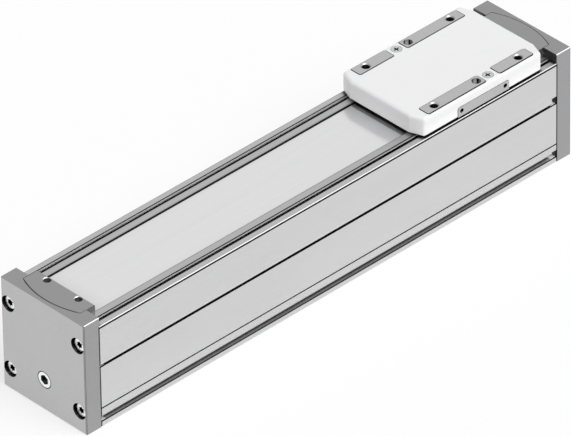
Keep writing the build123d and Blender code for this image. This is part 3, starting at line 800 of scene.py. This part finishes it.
def white_moulding():
    """White polyamide from a spark eroded mould: matt, with a fine even texture."""
    material, tree = new_material("white moulding")
    texture = marks(tree, MOULDED_GRAIN, detail=GRAIN_DETAIL)
    flow = marks(tree, MOULD_FLOW)
    normal, edge = rounded_edges(tree, MOULDED_EDGE)
    height = position(tree)["Z"]
    colour = blend(tree, ramp(tree, height, *COVER_PALE), linear("#F3F3F4"), linear("#FFFFFF"))
    colour = tinted(tree, colour, between(tree, flow, low=0.985, high=1.0))
    # Painted highlight along the rounded edges
    colour = paint_over(tree, colour, edge, "#FBFBFB", share=0.6)
    # Painted shadow along the lower edge of the sides, over the gap below
    gap_shadow = below(tree, height, COVER_BOTTOM + COVER_SHADOW_LINE, COVER_SHADOW_FADE)
    colour = paint_over(tree, colour, all_of(tree, gap_shadow, faces(tree, "Y")), "#141414")
    # Painted shade in gaps
    colour = tinted(tree, colour, painted_gap_shade(tree, 2 * MM, walls=(0.1, 0.4), tops=(0.1, 0.4)))
    roughness = between(tree, texture, low=0.42, high=0.52)
    plastic(tree, colour, roughness, relief(tree, texture, POLYAMIDE_DEPTH, normal), POLYAMIDE_IOR)
    return material


# Finishes of screws and plugs

def turned_rings(tree, radius):
    """Rings left by a lathe at the given distance from its axis."""
    turns = all_of(tree, radius, 2 * math.pi / RING_PITCH)
    wave = add(tree, "ShaderNodeMath", {0: turns}, operation="SINE").outputs[0]
    return ramp(tree, wave, -1.0, 1.0)


def zinc_plate(name, axis_aside, axis_heights, rim):
    """Bright zinc plate over a turned head: nearly white, with fine rings and a dark rim.

    The heads have their axes so far aside and at two heights, and rim is where the rim starts."""
    material, tree = new_material(name)
    place = position(tree)
    sideways = apart(tree, apart(tree, place["Y"]), axis_aside)
    radius = distance(tree, sideways, nearest(tree, place["Z"], axis_heights))
    rings = turned_rings(tree, radius)
    stains = marks(tree, ZINC_STAINS)
    normal, edge = rounded_edges(tree, SMALL_EDGE_BREAK)
    colour = paint_over(tree, linear("#F8F9F9"), edge, "#8C8E8E", share=0.5)
    colour = paint_over(tree, colour, above(tree, radius, rim, RIM_FADE), "#3C3D3D", share=0.9)
    colour = tinted(tree, colour, between(tree, stains, low=0.96, high=1.02))
    # Painted shade in the recesses of the head
    recesses = painted_gap_shade(tree, 3 * MM, walls=(0.6, 0.95), tops=(0.6, 0.95), alone=True)
    colour = tinted(tree, colour, recesses)
    roughness = between(tree, stains, low=0.24, high=0.34)
    metal(tree, colour, roughness, relief(tree, rings, RING_DEPTH, normal))
    return material


def zinc_plate_plain(top):
    """Bright zinc plate on the cover screws, whose heads end at the height top. The cross is painted
    dark as shade.
    """
    material, tree = new_material("bright zinc plate")
    stains = marks(tree, SMALL_ZINC_STAINS)
    normal, edge = rounded_edges(tree, COVER_SCREW_BREAK)
    cross = below(tree, position(tree)["Z"], top - CROSS_DEPTH / 2, CROSS_DEPTH / 2)
    colour = paint_over(tree, linear("#DDDFDF"), edge, "#3A3C3C")
    # Painted shade: the cross recess is black
    colour = paint_over(tree, colour, cross, "#0C0C0C")
    colour = tinted(tree, colour, between(tree, stains, low=0.96, high=1.02))
    # Painted shade in the recesses of the head
    recesses = painted_gap_shade(tree, 2.5 * MM, walls=(0.8, 0.99), tops=(0.8, 0.99), alone=True)
    colour = tinted(tree, colour, recesses)
    roughness = between(tree, stains, low=0.24, high=0.34)
    metal(tree, colour, roughness, relief(tree, stains, STAIN_DEPTH, normal))
    return material


def black_oxide():
    """Hardened steel, blackened: dark, with an oily sheen."""
    material, tree = new_material("black oxide")
    stains = marks(tree, OXIDE_STAINS)
    colour = tinted(tree, linear("#6C6C6E"), between(tree, stains, low=0.85, high=1.1))
    roughness = between(tree, stains, low=0.32, high=0.45)
    metal(tree, colour, roughness, relief(tree, stains, STAIN_DEPTH))
    return material


# Finishes of the pieces inside

def ground_steel(name, colour_code, grinding_size):
    """Hardened steel, ground along its length."""
    material, tree = new_material(name)
    grinding = marks(tree, grinding_size)
    normal, edge = rounded_edges(tree, SMALL_EDGE_BREAK)
    # Painted highlight along the edges
    colour = paint_over(tree, linear(colour_code), edge, "#E6E6E6", share=0.5)
    colour = tinted(tree, colour, between(tree, grinding, low=0.94, high=1.04))
    # Painted shade in gaps
    colour = tinted(tree, colour, painted_gap_shade(tree, 3 * MM, walls=(0.2, 0.5), tops=(0.2, 0.5)))
    roughness = between(tree, grinding, low=0.22, high=0.34)
    metal(tree, colour, roughness, relief(tree, grinding, GRINDING_DEPTH, normal))
    return material


def dark_moulding(name, colour_code, smooth, rough, ior):
    """Moulded plastic or rubber with a matt skin, between a smooth and a rough value."""
    material, tree = new_material(name)
    texture = marks(tree, MOULDED_GRAIN, detail=GRAIN_DETAIL)
    colour = tinted(tree, linear(colour_code), between(tree, texture, low=0.9, high=1.08))
    roughness = between(tree, texture, smooth, rough)
    plastic(tree, colour, roughness, relief(tree, texture, DARK_MOULDING_DEPTH), ior)
    return material


def dress(material, *names):
    """Gives CAD nodes a finish."""
    for name in names:
        mesh = nodes[name].data
        mesh.materials.clear()
        mesh.materials.append(material)


def dress_housing():
    """Finishes the fixed pieces."""
    dress(anodised_extrusion(), "housing_profile")
    dress(anodised_carrier(), "cover_carrier")
    dress(rolled_stainless(), "cover_strip")
    dress(blasted_cap(), "end_cap_near", "end_cap_far")
    dress(blasted_clamp(), "strip_clamp_near", "strip_clamp_far")
    dress(ground_steel("ground rail steel", "#C8C8C8", RAIL_GRINDING), "guide_rail")

    low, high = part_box("end_cap_screws_near")
    heights = (low[2] + CAP_SCREW_RADIUS, high[2] - CAP_SCREW_RADIUS)
    screw = zinc_plate("zinc plated screw", high[1] - CAP_SCREW_RADIUS, heights, CAP_SCREW_RADIUS)
    dress(screw, "end_cap_screws_near", "end_cap_screws_far")

    low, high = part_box("sealing_plug_near")
    heights = (low[2] + PLUG_RADIUS, low[2] + PLUG_RADIUS)
    plug = zinc_plate("zinc plated plug", 0.0, heights, PLUG_RADIUS - PLUG_RIM)
    dress(plug, "sealing_plug_near", "sealing_plug_far")

    stop = dark_moulding("stop rubber", "#262627", smooth=0.6, rough=0.75, ior=RUBBER_IOR)
    dress(stop, "end_stops_near", "end_stops_far")


def dress_slide():
    """Finishes the moving pieces."""
    low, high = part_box("slide_body")
    dress(milled_aluminium((low[0] + high[0]) / 2), "slide_body")
    dress(white_moulding(), "slide_cover")
    dress(zinc_plate_plain(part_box("cover_screws")[1][2]), "cover_screws")
    runner_steel = ground_steel("ground runner steel", "#BDBDBE", RUNNER_GRINDING)
    dress(runner_steel, "runner_block_near", "runner_block_far")
    end_plate = dark_moulding("end plate plastic", "#35383A", smooth=0.45, rough=0.6, ior=PLASTIC_IOR)
    seal = dark_moulding("seal rubber", "#1F1F20", smooth=0.6, rough=0.75, ior=RUBBER_IOR)
    for place in ("near_left", "near_right", "far_left", "far_right"):
        dress(end_plate, "runner_end_plate_" + place)
        dress(seal, "runner_seal_" + place)


bpy.context.scene.view_settings.view_transform = "Standard"
place_camera()
light_studio()
lay_floor()
dress_housing()
dress_slide()
dress(black_oxide(), "clamp_screws_near", "clamp_screws_far", "rail_screws", "runner_screws")
